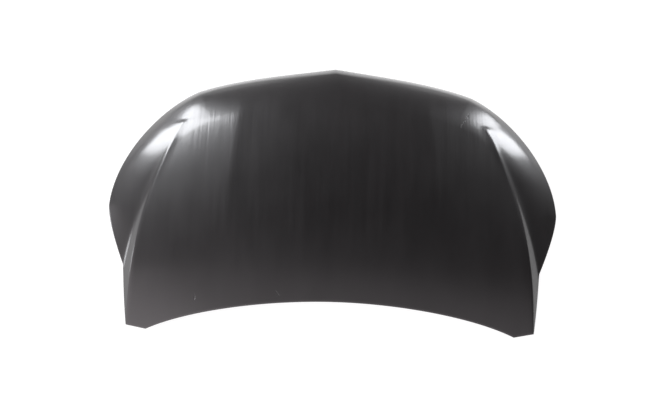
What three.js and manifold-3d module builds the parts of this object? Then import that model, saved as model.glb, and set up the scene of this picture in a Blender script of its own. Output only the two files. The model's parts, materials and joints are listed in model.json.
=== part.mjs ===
// Car bonnet of a compact car: a pressed outer skin, hemmed round a pressed inner frame,
// with the latch and hinge reinforcements, weld nuts, striker and mastic that work inside it.
// Millimetres. +X is the car's right-hand side, +Y points to the nose, +Z is up. The bonnet
// lies as it rests on the ground, skin upwards, and the origin is under the middle of it.

import * as THREE from "three";
import { mergeVertices } from "three/addons/utils/BufferGeometryUtils.js";
import Module from "manifold-3d";

const wasm = await Module();
wasm.setup();

// Plan of the right-hand half. A place "back" is measured rearwards from the nose tip, one "ahead"
// forwards from the rear end, and one "in" towards the middle from the widest place.
const bonnetLength = 892;
const halfWidth = 727;
const widestBack = 485;
const lampCornerIn = 272;
const lampCornerBack = 82;
const flankEndIn = 62;
const flankEndAhead = 208;
const rearCornerIn = 83;
const rearCornerLift = 15;
const cowlCornerWidth = 65;
const cowlSweep = 80;

// Crown of the skin and the height of its edge above the ground at named places.
const crownHeight = 146;
const crownBack = 430;
const crownRadiusAlong = 1900;
const noseTightening = 0.00115;
const crownRadiusAcross = 2450;
const noseEdgeHeight = 38;
const lampCornerEdgeHeight = 12;
const widestEdgeHeight = 5;
const noseRollWidth = 150;
const widestRollWidth = 90;
const flankRollWidth = 60;
const rollPower = 2;
const hemFlat = 12;

// Bonnet line either side of the middle, and the shoulder line with its steep face.
const bonnetLineFront = 285;
const bonnetLineMiddle = 345;
const bonnetLineMiddleBack = 386;
const bonnetLineRear = 340;
const bonnetLineTilt = 0.03;
const bonnetLineCrest = 1.5;
const bonnetLineCrestIn = 70;
const bonnetLineCrestOut = 120;
const bonnetLineFirm = { frontBack: 110, frontFade: 90, rearAhead: 172, rearFade: 320 };
const shoulderFrontIn = 297;
const shoulderPull = { in: 160, back: 356 };
const shoulderRearPull = { in: 79, ahead: 336 };
const shoulderStartBack = 230;
const shoulderFaceWidth = 30;
const shoulderFaceSlope = 0.5;
const shoulderFaceSteepening = 0.3;

// Sheets, hem and gaps.
const skinThickness = 0.8;
const frameThickness = 0.7;
const hemGap = 0.6;
const hemReturn = 9;
const hemFoldSteps = 4;
const fitGap = 0.3;

// Inner frame: how deep it hangs under the skin, and its windows.
const flangeWidth = 38;
const beamStart = 84;
const beamDepth = 26;
const landDepth = 4;
const landWidth = 24;
const wallDraft = 7;
const windowRadius = 38;
const drainHoleRadius = 11;
const windowToolRise = 14;
const windowToolFall = 30;

// Corners of the lands round the windows, and the holes that let the dip paint drain from the beams.
const rearMiddleLand = { rearHalf: 228, rearAhead: 186, frontHalf: 138, frontBack: 470 };
const frontMiddleLand = { rearHalf: 112, rearBack: 404, frontHalf: 62, frontBack: 226 };
const rearSideLand = {
  rearInner: { half: 322, ahead: 176 },
  rearOuter: { in: 207, ahead: 150 },
  frontOuter: { in: 189, back: 520 },
  frontInner: { half: 236, back: 492 },
};
const frontSideLand = {
  rearInner: { half: 200, back: 414 },
  rearOuter: { in: 207, back: 436 },
  frontOuter: { in: 259, back: 262 },
  frontMiddle: { in: 361, back: 192 },
  frontInner: { half: 140, back: 182 },
};
const drainPlaces = [
  { half: 170, ahead: 132 },
  { half: 400, ahead: 114 },
  { in: 131, ahead: 292 },
  { in: 137, back: 400 },
  { half: 200, back: 134 },
  { in: 327, back: 168 },
];

// Seats, reinforcement plates and hardware.
const hingeSeatIn = 161;
const hingeSeatAhead = 110;
const hingeSeatWidth = 52;
const hingeSeatLength = 116;
const hingeSeatDepth = 30;
const hingeBoltPitch = 64;
const hingePlateThickness = 2;
const latchSeatBack = 118;
const latchSeatWidth = 176;
const latchSeatLength = 70;
const latchSeatDepth = 31;
const latchPlateThickness = 1.5;
const seatCorner = 12;
const seatReach = 40;
const holeReach = 12;
const plateMargin = 5;
const boltDiameter = 8;
const boltClearance = 0.5;
const nutWidth = 14;
const nutHeight = 7;
const boltHeadWidth = 13;
const boltHeadHeight = 5.5;
const boltFlangeDiameter = 17;
const boltFlangeHeight = 1.5;
const boltEndMargin = 3;
const strikerPlateWidth = 112;
const strikerPlateLength = 38;
const strikerPlateThickness = 3;
const strikerPlateCorner = 10;
const strikerBoltPitch = 82;
const strikerWire = 8;
const strikerSpan = 40;
const strikerReach = 44;
const strikerBend = 12;
const staySeatIn = 275;
const staySeatBack = 471;
const staySeatWidth = 72;
const staySeatLength = 56;
const staySeatDepth = 30;
const stayPlateThickness = 1.2;
const staySlotLength = 22;
const staySlotWidth = 12;
const masticLength = 34;
const masticWidth = 14;
const masticCorner = 6;
const shortestPaddedSide = 172;

const paint = { color: 0x232325, roughness: 0.38, metalness: 0.1 };
const innerPaint = { color: 0x2a2a2c, roughness: 0.5, metalness: 0.1 };
const zinc = { color: 0xb4b6b4, roughness: 0.35, metalness: 0.9 };
const sealer = { color: 0x5a5750, roughness: 0.85, metalness: 0 };

const yAt = (back) => bonnetLength / 2 - back;
const yAhead = (ahead) => ahead - bonnetLength / 2;
const xIn = (inward) => halfWidth - inward;
const lerp = THREE.MathUtils.lerp;
const clamp = THREE.MathUtils.clamp;
const smooth = (t) => THREE.MathUtils.smoothstep(t, 0, 1);
const vec = (x, y) => new THREE.Vector2(x, y);
const degree = Math.PI / 180;
const roundSides = 10;

// A plan point of the right-hand half, from a place in the terms named at the top.
const placeOf = ({ half, in: inward, back, ahead }) =>
  vec(half ?? xIn(inward), back === undefined ? yAhead(ahead) : yAt(back));

// Plan outline as curves between its named corners.
const noseTip = placeOf({ half: 0, back: 0 });
const lampCorner = placeOf({ in: lampCornerIn, back: lampCornerBack });
const widest = placeOf({ in: 0, back: widestBack });
const flankEnd = placeOf({ in: flankEndIn, ahead: flankEndAhead });
const rearOuter = placeOf({ in: rearCornerIn, ahead: rearCornerLift });
const rearInner = placeOf({ in: rearCornerIn + cowlCornerWidth, ahead: 0 });
const cowlCentre = placeOf({ half: 0, ahead: cowlSweep });
const rearHalf = rearOuter.x;
const cowlHalf = rearInner.x;
const shoulderFrontHalf = xIn(shoulderFrontIn);

// A cubic curve that leaves a along headA and arrives at b along headB, both in degrees in plan.
function sweep(a, headA, reachA, b, headB, reachB) {
  const toward = (p, head, reach) =>
    vec(p.x + reach * Math.cos(head * degree), p.y + reach * Math.sin(head * degree));
  const chord = a.distanceTo(b);
  return new THREE.CubicBezierCurve(
    a,
    toward(a, headA, reachA * chord),
    toward(b, headB + 180, reachB * chord),
    b,
  );
}

const frontEdge = sweep(noseTip, -8.8, 0.36, lampCorner, -21, 0.3);
const lampEdge = sweep(lampCorner, -27, 0.3, widest, -88, 0.34);
const flankEdge = sweep(widest, -92, 0.24, flankEnd, -112, 0.3);
const rearSideEdge = sweep(flankEnd, -95, 0.3, rearOuter, -98, 0.4);
const cowlEdge = sweep(rearInner, 158.5, 0.24, cowlCentre, 180, 0.34);

// The point of a curve where its x, or its y, has a value, found by halving the interval.
function pointWhere(curve, axis, value) {
  let low = 0;
  let high = 1;
  const rising = curve.getPoint(1)[axis] > curve.getPoint(0)[axis];
  for (let step = 0; step < 30; step += 1) {
    const middle = (low + high) / 2;
    if (curve.getPoint(middle)[axis] < value === rising) low = middle;
    else high = middle;
  }
  return curve.getPoint((low + high) / 2);
}

const frontY = (x) => pointWhere(frontEdge, "x", x).y;
function rearY(x) {
  if (x <= cowlHalf) return pointWhere(cowlEdge, "x", x).y;
  return lerp(rearInner.y, rearOuter.y, (x - cowlHalf) / (rearHalf - cowlHalf));
}

// Bonnet line and shoulder line in plan, from the front edge to the rear edge.
const bonnetLine = new THREE.QuadraticBezierCurve(
  vec(bonnetLineFront, frontY(bonnetLineFront)),
  vec(bonnetLineMiddle, yAt(bonnetLineMiddleBack)),
  vec(bonnetLineRear, rearY(bonnetLineRear)),
);
const shoulderLine = new THREE.CubicBezierCurve(
  vec(shoulderFrontHalf, frontY(shoulderFrontHalf)),
  placeOf(shoulderPull),
  placeOf(shoulderRearPull),
  rearOuter,
);

// x of a line that runs from front to rear, looked up by y in a table made once.
function lookup(curve, steps = 160) {
  const points = curve.getPoints(steps);
  return (y) => {
    if (y >= points[0].y) return points[0].x;
    for (let i = 1; i <= steps; i += 1) {
      const [a, b] = [points[i - 1], points[i]];
      if (y >= b.y) return lerp(b.x, a.x, (y - b.y) / (a.y - b.y));
    }
    return points[steps].x;
  };
}
const bonnetLineX = lookup(bonnetLine);
const shoulderX = lookup(shoulderLine);

const shoulderStart = yAt(shoulderStartBack);
const faceShare = (y) => Math.max(0, (shoulderStart - y) / (shoulderStart - flankEnd.y));
const faceWidth = (y) => shoulderFaceWidth * faceShare(y);
const faceDrop = (y) => faceWidth(y) * (shoulderFaceSlope + shoulderFaceSteepening * faceShare(y));

// The skin before its edge rolls over: crown, bonnet line and shoulder face.
function baseHeight(x, y) {
  const across = Math.abs(x);
  let z = crownHeight;
  const ahead = y - yAt(crownBack);
  z -= (ahead ** 2 / (2 * crownRadiusAlong)) * (1 + noseTightening * Math.max(0, ahead));
  z -= across ** 2 / (2 * crownRadiusAcross);
  const firm = bonnetLineFirm;
  const frontShare = smooth((yAt(firm.frontBack) - y) / firm.frontFade);
  const strength = frontShare * smooth((y - yAhead(firm.rearAhead)) / firm.rearFade);
  const past = across - bonnetLineX(y);
  z -= strength * bonnetLineTilt * Math.max(0, past);
  const crestReach = past < 0 ? bonnetLineCrestIn : bonnetLineCrestOut;
  z += strength * bonnetLineCrest * Math.max(0, 1 - Math.abs(past) / crestReach) ** 2;
  const outboard = across - shoulderX(y);
  if (outboard > 0 && faceWidth(y) > 0) z -= faceDrop(y) * Math.min(1, outboard / faceWidth(y));
  return z;
}

// Samples along the front, lamp and flank edges: how far the skin rolls down there, and over what width.
const rollSamples = [];
for (const [curve, heights, widths] of [
  [frontEdge, [noseEdgeHeight, lampCornerEdgeHeight], [noseRollWidth, noseRollWidth]],
  [lampEdge, [lampCornerEdgeHeight, widestEdgeHeight], [noseRollWidth, widestRollWidth]],
  [flankEdge, [widestEdgeHeight, null], [widestRollWidth, flankRollWidth]],
]) {
  const steps = 70;
  for (let i = 0; i <= steps; i += 1) {
    const t = i / steps;
    const p = curve.getPoint(t);
    const heading = curve.getTangent(t);
    const base = baseHeight(p.x, p.y);
    const target = heights[1] === null ? widestEdgeHeight : lerp(...heights, smooth(t));
    const fade = 1 - smooth(t);
    const atWidest = baseHeight(widest.x, widest.y) - widestEdgeHeight;
    const depth = heights[1] === null ? fade * atWidest : base - target;
    rollSamples.push({ p, inward: vec(heading.y, -heading.x), depth, width: lerp(...widths, t) });
  }
}

// Share of the roll's whole drop at a distance inside the edge. The last of it, where the hem
// lies, is straight.
function rollShare(inside, width) {
  const t = Math.max(0, 1 - inside / width);
  const bend = 1 - hemFlat / width;
  const straight = (at) => bend ** rollPower + rollPower * bend ** (rollPower - 1) * (at - bend);
  return (t < bend ? t ** rollPower : straight(t)) / straight(1);
}

// Height of the skin's outer face over the ground plane.
function skinHeight(x, y) {
  const here = vec(Math.abs(x), y);
  let best = null;
  let bestSquare = Infinity;
  for (const sample of rollSamples) {
    const square = here.distanceToSquared(sample.p);
    if (square < bestSquare) {
      bestSquare = square;
      best = sample;
    }
  }
  const inside = here.clone().sub(best.p).dot(best.inward);
  return baseHeight(x, y) - best.depth * rollShare(inside, best.width);
}

function skinNormal(x, y, reach = 1) {
  const dx = (skinHeight(x + reach, y) - skinHeight(x - reach, y)) / (2 * reach);
  const dy = (skinHeight(x, y + reach) - skinHeight(x, y - reach)) / (2 * reach);
  return new THREE.Vector3(-dx, -dy, 1).normalize();
}

// Rows run across the bonnet, from the cowl edge (0) to the front edge (1). They pass through the
// flank end and the widest point, and crowd together where the skin bends.
const flankEndRow = 0.28;
const widestRow = 0.478;
const rollRow = 1 - noseRollWidth / (bonnetLength - cowlSweep);
function spread(from, to, count) {
  return Array.from({ length: count }, (_, i) => lerp(from, to, i / count));
}
const rows = [
  0,
  0.02,
  ...spread(0.07, flankEndRow - 0.018, 3),
  ...spread(flankEndRow - 0.018, flankEndRow + 0.054, 4),
  ...spread(flankEndRow + 0.054, widestRow, 3),
  ...spread(widestRow, rollRow, 7),
  ...[1, 0.72, 0.48, 0.28, 0.12, 0].map((share) => 1 - (1 - rollRow) * share),
];

// Side edge from the shoulder line's front end to the rear corner, as three runs that rows share out.
function runOf(curves, first) {
  const points = first ? [first] : [];
  for (const curve of curves) {
    for (const p of curve.getPoints(80)) {
      if (first && curve === frontEdge && p.x <= first.x) continue;
      points.push(p);
    }
  }
  const lengths = [0];
  for (let i = 1; i < points.length; i += 1) {
    lengths.push(lengths[i - 1] + points[i].distanceTo(points[i - 1]));
  }
  return (share) => {
    const wanted = clamp(share, 0, 1) * lengths[lengths.length - 1];
    let i = 1;
    while (i < points.length - 1 && lengths[i] < wanted) i += 1;
    const span = lengths[i] - lengths[i - 1] || 1;
    return points[i - 1].clone().lerp(points[i], (wanted - lengths[i - 1]) / span);
  };
}
const frontRun = runOf([frontEdge, lampEdge], vec(shoulderFrontHalf, frontY(shoulderFrontHalf)));
const flankRun = runOf([flankEdge]);
const rearRun = runOf([rearSideEdge]);
function sidePoint(v) {
  if (v >= widestRow) return frontRun((1 - v) / (1 - widestRow));
  if (v >= flankEndRow) return flankRun((widestRow - v) / (widestRow - flankEndRow));
  return rearRun((flankEndRow - v) / flankEndRow);
}

// A patch of the plan between two front-to-rear lines, blended from its four sides.
function coons(u, v, left, right, rear, front) {
  const blend = (a, b, t) => a.clone().lerp(b, t);
  const along = blend(rear(u), front(u), v);
  const across = blend(left(v), right(v), u);
  const corners = blend(blend(rear(0), rear(1), u), blend(front(0), front(1), u), v);
  return along.add(across).sub(corners);
}

const centreAt = (v) => vec(0, lerp(cowlCentre.y, noseTip.y, v));
function onLine(curve, v) {
  const [front, rear] = [curve.getPoint(0), curve.getPoint(1)];
  if (v <= 0) return rear;
  if (v >= 1) return front;
  return pointWhere(curve, "y", lerp(rear.y, front.y, v));
}
const lineAt = (v) => onLine(bonnetLine, v);
const shoulderAt = (v) => onLine(shoulderLine, v);
const rearEdgePoint = (x) => vec(x, rearY(x));
const frontEdgePoint = (x) => vec(x, frontY(x));

const middleShares = [0, 0.25, 0.5, 0.75];
const cowlCornerShare = (cowlHalf - bonnetLineRear) / (rearHalf - bonnetLineRear);
const outerShares = [0, 0.4, cowlCornerShare];
const bandShares = [0.68, 0.42, 0.24, 0.1, 0];

// One row of the right-hand half, from the middle of the bonnet to its side edge.
function rowPoints(v) {
  const points = middleShares.map((u) =>
    coons(
      u,
      v,
      centreAt,
      lineAt,
      (s) => rearEdgePoint(s * bonnetLineRear),
      (s) => frontEdgePoint(s * bonnetLineFront),
    ),
  );
  for (const u of outerShares) {
    points.push(
      coons(
        u,
        v,
        lineAt,
        shoulderAt,
        (s) => rearEdgePoint(lerp(bonnetLineRear, rearHalf, s)),
        (s) => frontEdgePoint(lerp(bonnetLineFront, shoulderFrontHalf, s)),
      ),
    );
  }
  const shoulder = shoulderAt(v);
  const edge = sidePoint(v);
  points.push(shoulder);
  let valley = 0;
  if (v > flankEndRow) {
    let high = 1;
    for (let step = 0; step < 30; step += 1) {
      const t = (valley + high) / 2;
      const p = shoulder.clone().lerp(edge, t);
      if (p.x - shoulderX(p.y) < faceWidth(p.y)) valley = t;
      else high = t;
    }
    if (shoulder.y >= shoulderStart) valley = 0;
  } else {
    valley = 0.5;
  }
  points.push(shoulder.clone().lerp(edge, valley));
  const foot = v > flankEndRow ? valley : 1;
  for (const share of bandShares) {
    points.push(shoulder.clone().lerp(edge, lerp(1, foot, share)));
  }
  return points;
}

// The whole plan grid: shared vertices, triangles that face up, and the boundary loop, anticlockwise.
function planGrid() {
  const vertices = [];
  const byPlace = new Map();
  const add = (x, y) => {
    const key = `${Math.round(x * 200)},${Math.round(y * 200)}`;
    if (!byPlace.has(key)) {
      byPlace.set(key, vertices.length);
      vertices.push({ x, y });
    }
    return byPlace.get(key);
  };
  const half = rows.map((v) => rowPoints(v));
  const triangles = [];
  const boundary = [];
  const face = (a, b, c) => {
    if (a !== b && b !== c && c !== a) triangles.push([a, b, c]);
  };
  for (const side of [1, -1]) {
    const index = half.map((row) => row.map((p) => add(side * Math.abs(p.x), p.y)));
    for (let j = 1; j < index.length; j += 1) {
      for (let i = 1; i < index[j].length; i += 1) {
        const [a, b] = [index[j - 1][i - 1], index[j - 1][i]];
        const [c, d] = [index[j][i], index[j][i - 1]];
        if (side > 0) {
          face(a, b, c);
          face(a, c, d);
        } else {
          face(a, c, b);
          face(a, d, c);
        }
      }
    }
    const last = half[0].length - 1;
    const loop = [];
    const note = (k) => {
      if (loop[loop.length - 1] !== k) loop.push(k);
    };
    for (let i = 0; i <= last; i += 1) note(index[0][i]);
    for (let j = 1; j < index.length; j += 1) note(index[j][last]);
    for (let i = last; i >= 0; i -= 1) note(index[index.length - 1][i]);
    if (side > 0) boundary.push(...loop);
    else boundary.push(...loop.reverse().slice(1, -1));
  }
  return { vertices, triangles, boundary };
}

// Each grid vertex gets its place on the skin, its normal and, on the boundary, its outward heading.
const grid = planGrid();
for (const v of grid.vertices) {
  v.place = new THREE.Vector3(v.x, v.y, skinHeight(v.x, v.y));
  v.normal = skinNormal(v.x, v.y);
}
grid.boundary.forEach((k, n) => {
  const loop = grid.boundary;
  const here = grid.vertices[k];
  const before = grid.vertices[loop[(n + loop.length - 1) % loop.length]];
  const after = grid.vertices[loop[(n + 1) % loop.length]];
  const normalOf = (a, b) => vec(b.y - a.y, a.x - b.x).normalize();
  here.outward = normalOf(before, here).add(normalOf(here, after)).normalize();
  here.normal = skinNormal(here.x - 2 * here.outward.x, here.y - 2 * here.outward.y);
  const flat = new THREE.Vector3(here.outward.x, here.outward.y, 0);
  here.tangent = flat.addScaledVector(here.normal, -flat.dot(here.normal)).normalize();
});
for (const v of grid.vertices) {
  v.fromEdge = Math.min(...grid.boundary.map((k) => grid.vertices[k].place.distanceTo(v.place)));
}

const under = (v, depth) => v.place.clone().addScaledVector(v.normal, -depth);

// Depth of the inner frame's upper face below the skin's outer face.
const flangeDepth = skinThickness + hemGap;
function frameDepth(v) {
  const t = clamp((v.fromEdge - flangeWidth) / (beamStart - flangeWidth), 0, 1);
  return lerp(flangeDepth, beamDepth, t);
}

// Collects triangles and gives them back as one closed geometry.
class Shell {
  constructor() {
    this.numbers = [];
  }

  triangle(a, b, c) {
    this.numbers.push(a.x, a.y, a.z, b.x, b.y, b.z, c.x, c.y, c.z);
  }

  strip(ringA, ringB) {
    ringA.forEach((a, n) => {
      const m = (n + 1) % ringA.length;
      this.triangle(a, ringB[n], ringA[m]);
      this.triangle(ringA[m], ringB[n], ringB[m]);
    });
  }

  geometry() {
    const made = new THREE.BufferGeometry();
    made.setAttribute("position", new THREE.Float32BufferAttribute(this.numbers, 3));
    return made;
  }
}

function solidFrom(geometry) {
  const bare = geometry.index ? geometry.toNonIndexed() : geometry.clone();
  bare.deleteAttribute("normal");
  bare.deleteAttribute("uv");
  const merged = mergeVertices(bare, 1e-4);
  return new wasm.Manifold(
    new wasm.Mesh({
      numProp: 3,
      vertProperties: new Float32Array(merged.attributes.position.array),
      triVerts: new Uint32Array(merged.index.array),
    }),
  );
}

function geometryFrom(solid) {
  const mesh = solid.getMesh();
  const made = new THREE.BufferGeometry();
  made.setAttribute("position", new THREE.BufferAttribute(mesh.vertProperties, 3));
  made.setIndex(new THREE.BufferAttribute(mesh.triVerts, 1));
  const loose = made.toNonIndexed();
  loose.computeVertexNormals();
  return loose;
}

// A sheet or block that follows the skin between two depths. Depths are numbers or functions of a
// grid vertex, and inset draws the rim in along the skin.
function slab(upper, lower, inset = 0) {
  const depthOf = (law, v) => (typeof law === "function" ? law(v) : law);
  const layer = (law) =>
    grid.vertices.map((v) => {
      const p = under(v, depthOf(law, v));
      return inset && v.tangent ? p.addScaledVector(v.tangent, -inset) : p;
    });
  const [top, bottom] = [layer(upper), layer(lower)];
  const shell = new Shell();
  for (const [a, b, c] of grid.triangles) {
    shell.triangle(top[a], top[b], top[c]);
    shell.triangle(bottom[a], bottom[c], bottom[b]);
  }
  shell.strip(
    grid.boundary.map((k) => top[k]),
    grid.boundary.map((k) => bottom[k]),
  );
  return shell.geometry();
}

// Outer skin: one sheet, folded right round under itself along the whole edge.
function outerPanelGeometry() {
  const hemHeight = 2 * skinThickness + 2 * hemGap + frameThickness;
  const shell = new Shell();
  const top = grid.vertices.map((v) => under(v, 0));
  const bottom = grid.vertices.map((v) => under(v, skinThickness));
  for (const [a, b, c] of grid.triangles) {
    shell.triangle(top[a], top[b], top[c]);
    shell.triangle(bottom[a], bottom[c], bottom[b]);
  }
  const stations = grid.boundary.map((k) => grid.vertices[k]);
  const foldRing = (radius, angle) =>
    stations.map((v) =>
      under(v, hemHeight / 2 - radius * Math.cos(angle)).addScaledVector(
        v.tangent,
        radius * Math.sin(angle),
      ),
    );
  const inner = stations.map((v) => {
    const reach = hemReturn * Math.hypot(v.tangent.x, v.tangent.y);
    return vec(v.x - reach * v.outward.x, v.y - reach * v.outward.y);
  });
  const rise = inner.map((p, n) => skinHeight(p.x, p.y) - stations[n].place.z);
  const count = stations.length;
  const returnRing = (depth) =>
    stations.map((v, n) => {
      const lift = Math.min(rise[(n + count - 1) % count], rise[n], rise[(n + 1) % count]);
      const place = new THREE.Vector3(inner[n].x, inner[n].y, v.place.z + lift);
      return place.addScaledVector(v.normal, -depth);
    });
  const turns = Array.from({ length: hemFoldSteps + 1 }, (_, n) => (n / hemFoldSteps) * Math.PI);
  const outer = turns.map((angle) => foldRing(hemHeight / 2, angle));
  const inside = turns.map((angle) => foldRing(hemHeight / 2 - skinThickness, angle)).reverse();
  const rings = [
    ...outer,
    returnRing(hemHeight),
    returnRing(hemHeight - skinThickness),
    ...inside,
  ];
  for (let n = 1; n < rings.length; n += 1) shell.strip(rings[n - 1], rings[n]);
  return shell.geometry();
}

// Plan polygon with rounded corners, from its corner points in order.
function roundedPolygon(corners, radius, steps = 2) {
  const points = [];
  corners.forEach((corner, n) => {
    const before = corners[(n + corners.length - 1) % corners.length];
    const after = corners[(n + 1) % corners.length];
    const toBefore = before.clone().sub(corner).normalize();
    const toAfter = after.clone().sub(corner).normalize();
    const halfAngle = toBefore.angleTo(toAfter) / 2;
    const room = Math.min(before.distanceTo(corner), after.distanceTo(corner)) / 2;
    const cut = Math.min(radius / Math.tan(halfAngle), room);
    const from = corner.clone().addScaledVector(toBefore, cut);
    const to = corner.clone().addScaledVector(toAfter, cut);
    const bend = new THREE.QuadraticBezierCurve(from, corner, to);
    points.push(...bend.getPoints(steps));
  });
  return points;
}

// Moves a polygon's sides in by a distance, keeping its corners' mitres.
function inset(polygon, distance) {
  const count = polygon.length;
  return polygon.map((p, n) => {
    const before = polygon[(n + count - 1) % count];
    const after = polygon[(n + 1) % count];
    const normalOf = (a, b) => vec(a.y - b.y, b.x - a.x).normalize();
    const [m, k] = [normalOf(before, p), normalOf(p, after)];
    const mitre = m.clone().add(k).normalize();
    return p.clone().addScaledVector(mitre, distance / Math.max(0.3, mitre.dot(m)));
  });
}

// Upright block over a polygon. Its walls lean in upwards by the draft, measured from the land's depth
// below the skin down to the beams' depth.
function draftedBlock(polygon, draft) {
  const slope = draft / (beamDepth - landDepth);
  const ring = (offset) =>
    inset(polygon, slope * (offset + landDepth)).map(
      (p) => new THREE.Vector3(p.x, p.y, skinHeight(p.x, p.y) + offset),
    );
  const [top, bottom] = [ring(windowToolRise), ring(-landDepth - windowToolFall)];
  const faces = THREE.ShapeUtils.triangulateShape(polygon, []);
  const shell = new Shell();
  for (const [a, b, c] of faces) {
    shell.triangle(top[a], top[b], top[c]);
    shell.triangle(bottom[a], bottom[c], bottom[b]);
  }
  shell.strip(top, bottom);
  return solidFrom(shell.geometry());
}

// Windows of the frame, as the corners of their raised lands, anticlockwise in plan.
const mirrored = (corners) => corners.map((p) => vec(-p.x, p.y)).reverse();
function middleWindow({ rearHalf: rear, rearAhead, rearBack, frontHalf: front, frontBack }) {
  const corners = [
    placeOf({ half: rear, ahead: rearAhead, back: rearBack }),
    placeOf({ half: front, back: frontBack }),
  ];
  const [rearLeft, frontLeft] = corners.map((p) => vec(-p.x, p.y));
  return [rearLeft, ...corners, frontLeft];
}
const rearMiddleWindow = middleWindow(rearMiddleLand);
const frontMiddleWindow = middleWindow(frontMiddleLand);
const rearSideWindow = Object.values(rearSideLand).map(placeOf);
const frontSideWindow = Object.values(frontSideLand).map(placeOf);
const windows = [
  rearMiddleWindow,
  frontMiddleWindow,
  rearSideWindow,
  frontSideWindow,
  mirrored(rearSideWindow),
  mirrored(frontSideWindow),
].map((corners) => roundedPolygon(corners, windowRadius));

// Local frame on the skin: origin below the point by a depth, local Z along the skin's normal and
// local X along the car's.
function seatFrame(x, y, depth) {
  const normal = skinNormal(x, y);
  const origin = new THREE.Vector3(x, y, skinHeight(x, y)).addScaledVector(normal, -depth);
  const across = new THREE.Vector3(1, 0, 0);
  across.addScaledVector(normal, -across.dot(normal)).normalize();
  const along = normal.clone().cross(across);
  return new THREE.Matrix4().makeBasis(across, along, normal).setPosition(origin);
}

// Points of an arc about (x, y) from one angle to another, in degrees.
function arc(x, y, radius, from, to, steps) {
  return Array.from({ length: steps + 1 }, (_, n) => {
    const angle = lerp(from, to, n / steps) * degree;
    return vec(x + radius * Math.cos(angle), y + radius * Math.sin(angle));
  });
}

const circle = (radius, sides, x = 0, y = 0) => arc(x, y, radius, 0, 360, sides).slice(0, sides);

function roundedRectangle(width, length, radius, steps = 3) {
  const [w, l] = [width / 2 - radius, length / 2 - radius];
  return new THREE.Shape([
    ...arc(w, -l, radius, -90, 0, steps),
    ...arc(w, l, radius, 0, 90, steps),
    ...arc(-w, l, radius, 90, 180, steps),
    ...arc(-w, -l, radius, 180, 270, steps),
  ]);
}

function plate(shape, low, high) {
  const made = new THREE.ExtrudeGeometry(shape, { depth: high - low, bevelEnabled: false });
  return made.translate(0, 0, low);
}

const rod = (radius, low, high, sides, x = 0, y = 0) =>
  plate(new THREE.Shape(circle(radius, sides, x, y)), low, high);

const hingeFrame = (side) =>
  seatFrame(side * xIn(hingeSeatIn), yAhead(hingeSeatAhead), hingeSeatDepth);
const latchFrame = seatFrame(0, yAt(latchSeatBack), latchSeatDepth);
const hingeBolts = [-hingeBoltPitch / 2, hingeBoltPitch / 2].map((y) => vec(0, y));
const strikerBolts = [-strikerBoltPitch / 2, strikerBoltPitch / 2].map((x) => vec(x, 0));
const boltHole = boltDiameter / 2 + boltClearance;
const stayFrame = seatFrame(-xIn(staySeatIn), yAt(staySeatBack), staySeatDepth);
const seats = [
  [hingeFrame(1), hingeSeatWidth, hingeSeatLength, hingeBolts],
  [hingeFrame(-1), hingeSeatWidth, hingeSeatLength, hingeBolts],
  [latchFrame, latchSeatWidth, latchSeatLength, strikerBolts],
  [stayFrame, staySeatWidth, staySeatLength, []],
];

// Round holes along the beams, on both sides of the middle.
const drainHoles = drainPlaces.map(placeOf).flatMap((p) => [p, vec(-p.x, p.y)]);

// Inner frame: one pressed sheet that lies in the hem, drops away to the beams' depth, rises in
// walls to the lands round its windows, and has flat seats for the hinges and the latch.
function innerFrame() {
  const lower = (v) => frameDepth(v) + frameThickness;
  let frame = solidFrom(slab(frameDepth, lower, hemGap));
  const raised = solidFrom(slab(landDepth, lower));
  const hollow = solidFrom(slab(landDepth + frameThickness, (v) => frameDepth(v) + landDepth));
  for (const polygon of windows) {
    const outer = draftedBlock(inset(polygon, -frameThickness), wallDraft);
    frame = frame.add(raised.intersect(outer));
  }
  for (const polygon of windows) {
    frame = frame.subtract(hollow.intersect(draftedBlock(polygon, wallDraft)));
    frame = frame.subtract(draftedBlock(inset(polygon, landWidth), 0));
  }
  const lowered = solidFrom(slab(frameDepth, (v) => frameDepth(v) + seatReach));
  for (const [matrix, width, length] of seats) {
    const body = plate(roundedRectangle(width, length, seatCorner), 0, seatReach);
    frame = frame.add(solidFrom(body.applyMatrix4(matrix)).intersect(lowered));
  }
  for (const [matrix, width, length, bolts] of seats) {
    const wall = 2 * frameThickness;
    const pocket = roundedRectangle(width - wall, length - wall, seatCorner - frameThickness);
    const inside = plate(pocket, frameThickness, seatReach).applyMatrix4(matrix);
    frame = frame.subtract(solidFrom(inside));
    for (const bolt of bolts) {
      const hole = rod(boltHole, -holeReach, holeReach, roundSides, bolt.x, bolt.y);
      frame = frame.subtract(solidFrom(hole.applyMatrix4(matrix)));
    }
  }
  for (const hole of drainHoles) {
    const matrix = seatFrame(hole.x, hole.y, beamDepth);
    const cutter = rod(drainHoleRadius, -holeReach, holeReach, roundSides).applyMatrix4(matrix);
    frame = frame.subtract(solidFrom(cutter));
  }
  const slot = roundedRectangle(staySlotLength, staySlotWidth, staySlotWidth / 2);
  return frame.subtract(solidFrom(plate(slot, -holeReach, holeReach).applyMatrix4(stayFrame)));
}

// Flat plate with round holes, for the reinforcements and the striker's foot.
function drilledPlate(width, length, corner, low, high, bolts) {
  const shape = roundedRectangle(width, length, corner);
  for (const bolt of bolts) {
    shape.holes.push(new THREE.Path(circle(boltHole, roundSides, bolt.x, bolt.y)));
  }
  return plate(shape, low, high);
}

const hexagon = (acrossFlats) => new THREE.Shape(circle(acrossFlats / Math.sqrt(3), 6));

function weldNut(low) {
  const shape = hexagon(nutWidth);
  shape.holes.push(new THREE.Path(circle(boltDiameter / 2 + fitGap, roundSides)));
  return plate(shape, low, low + nutHeight);
}

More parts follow.
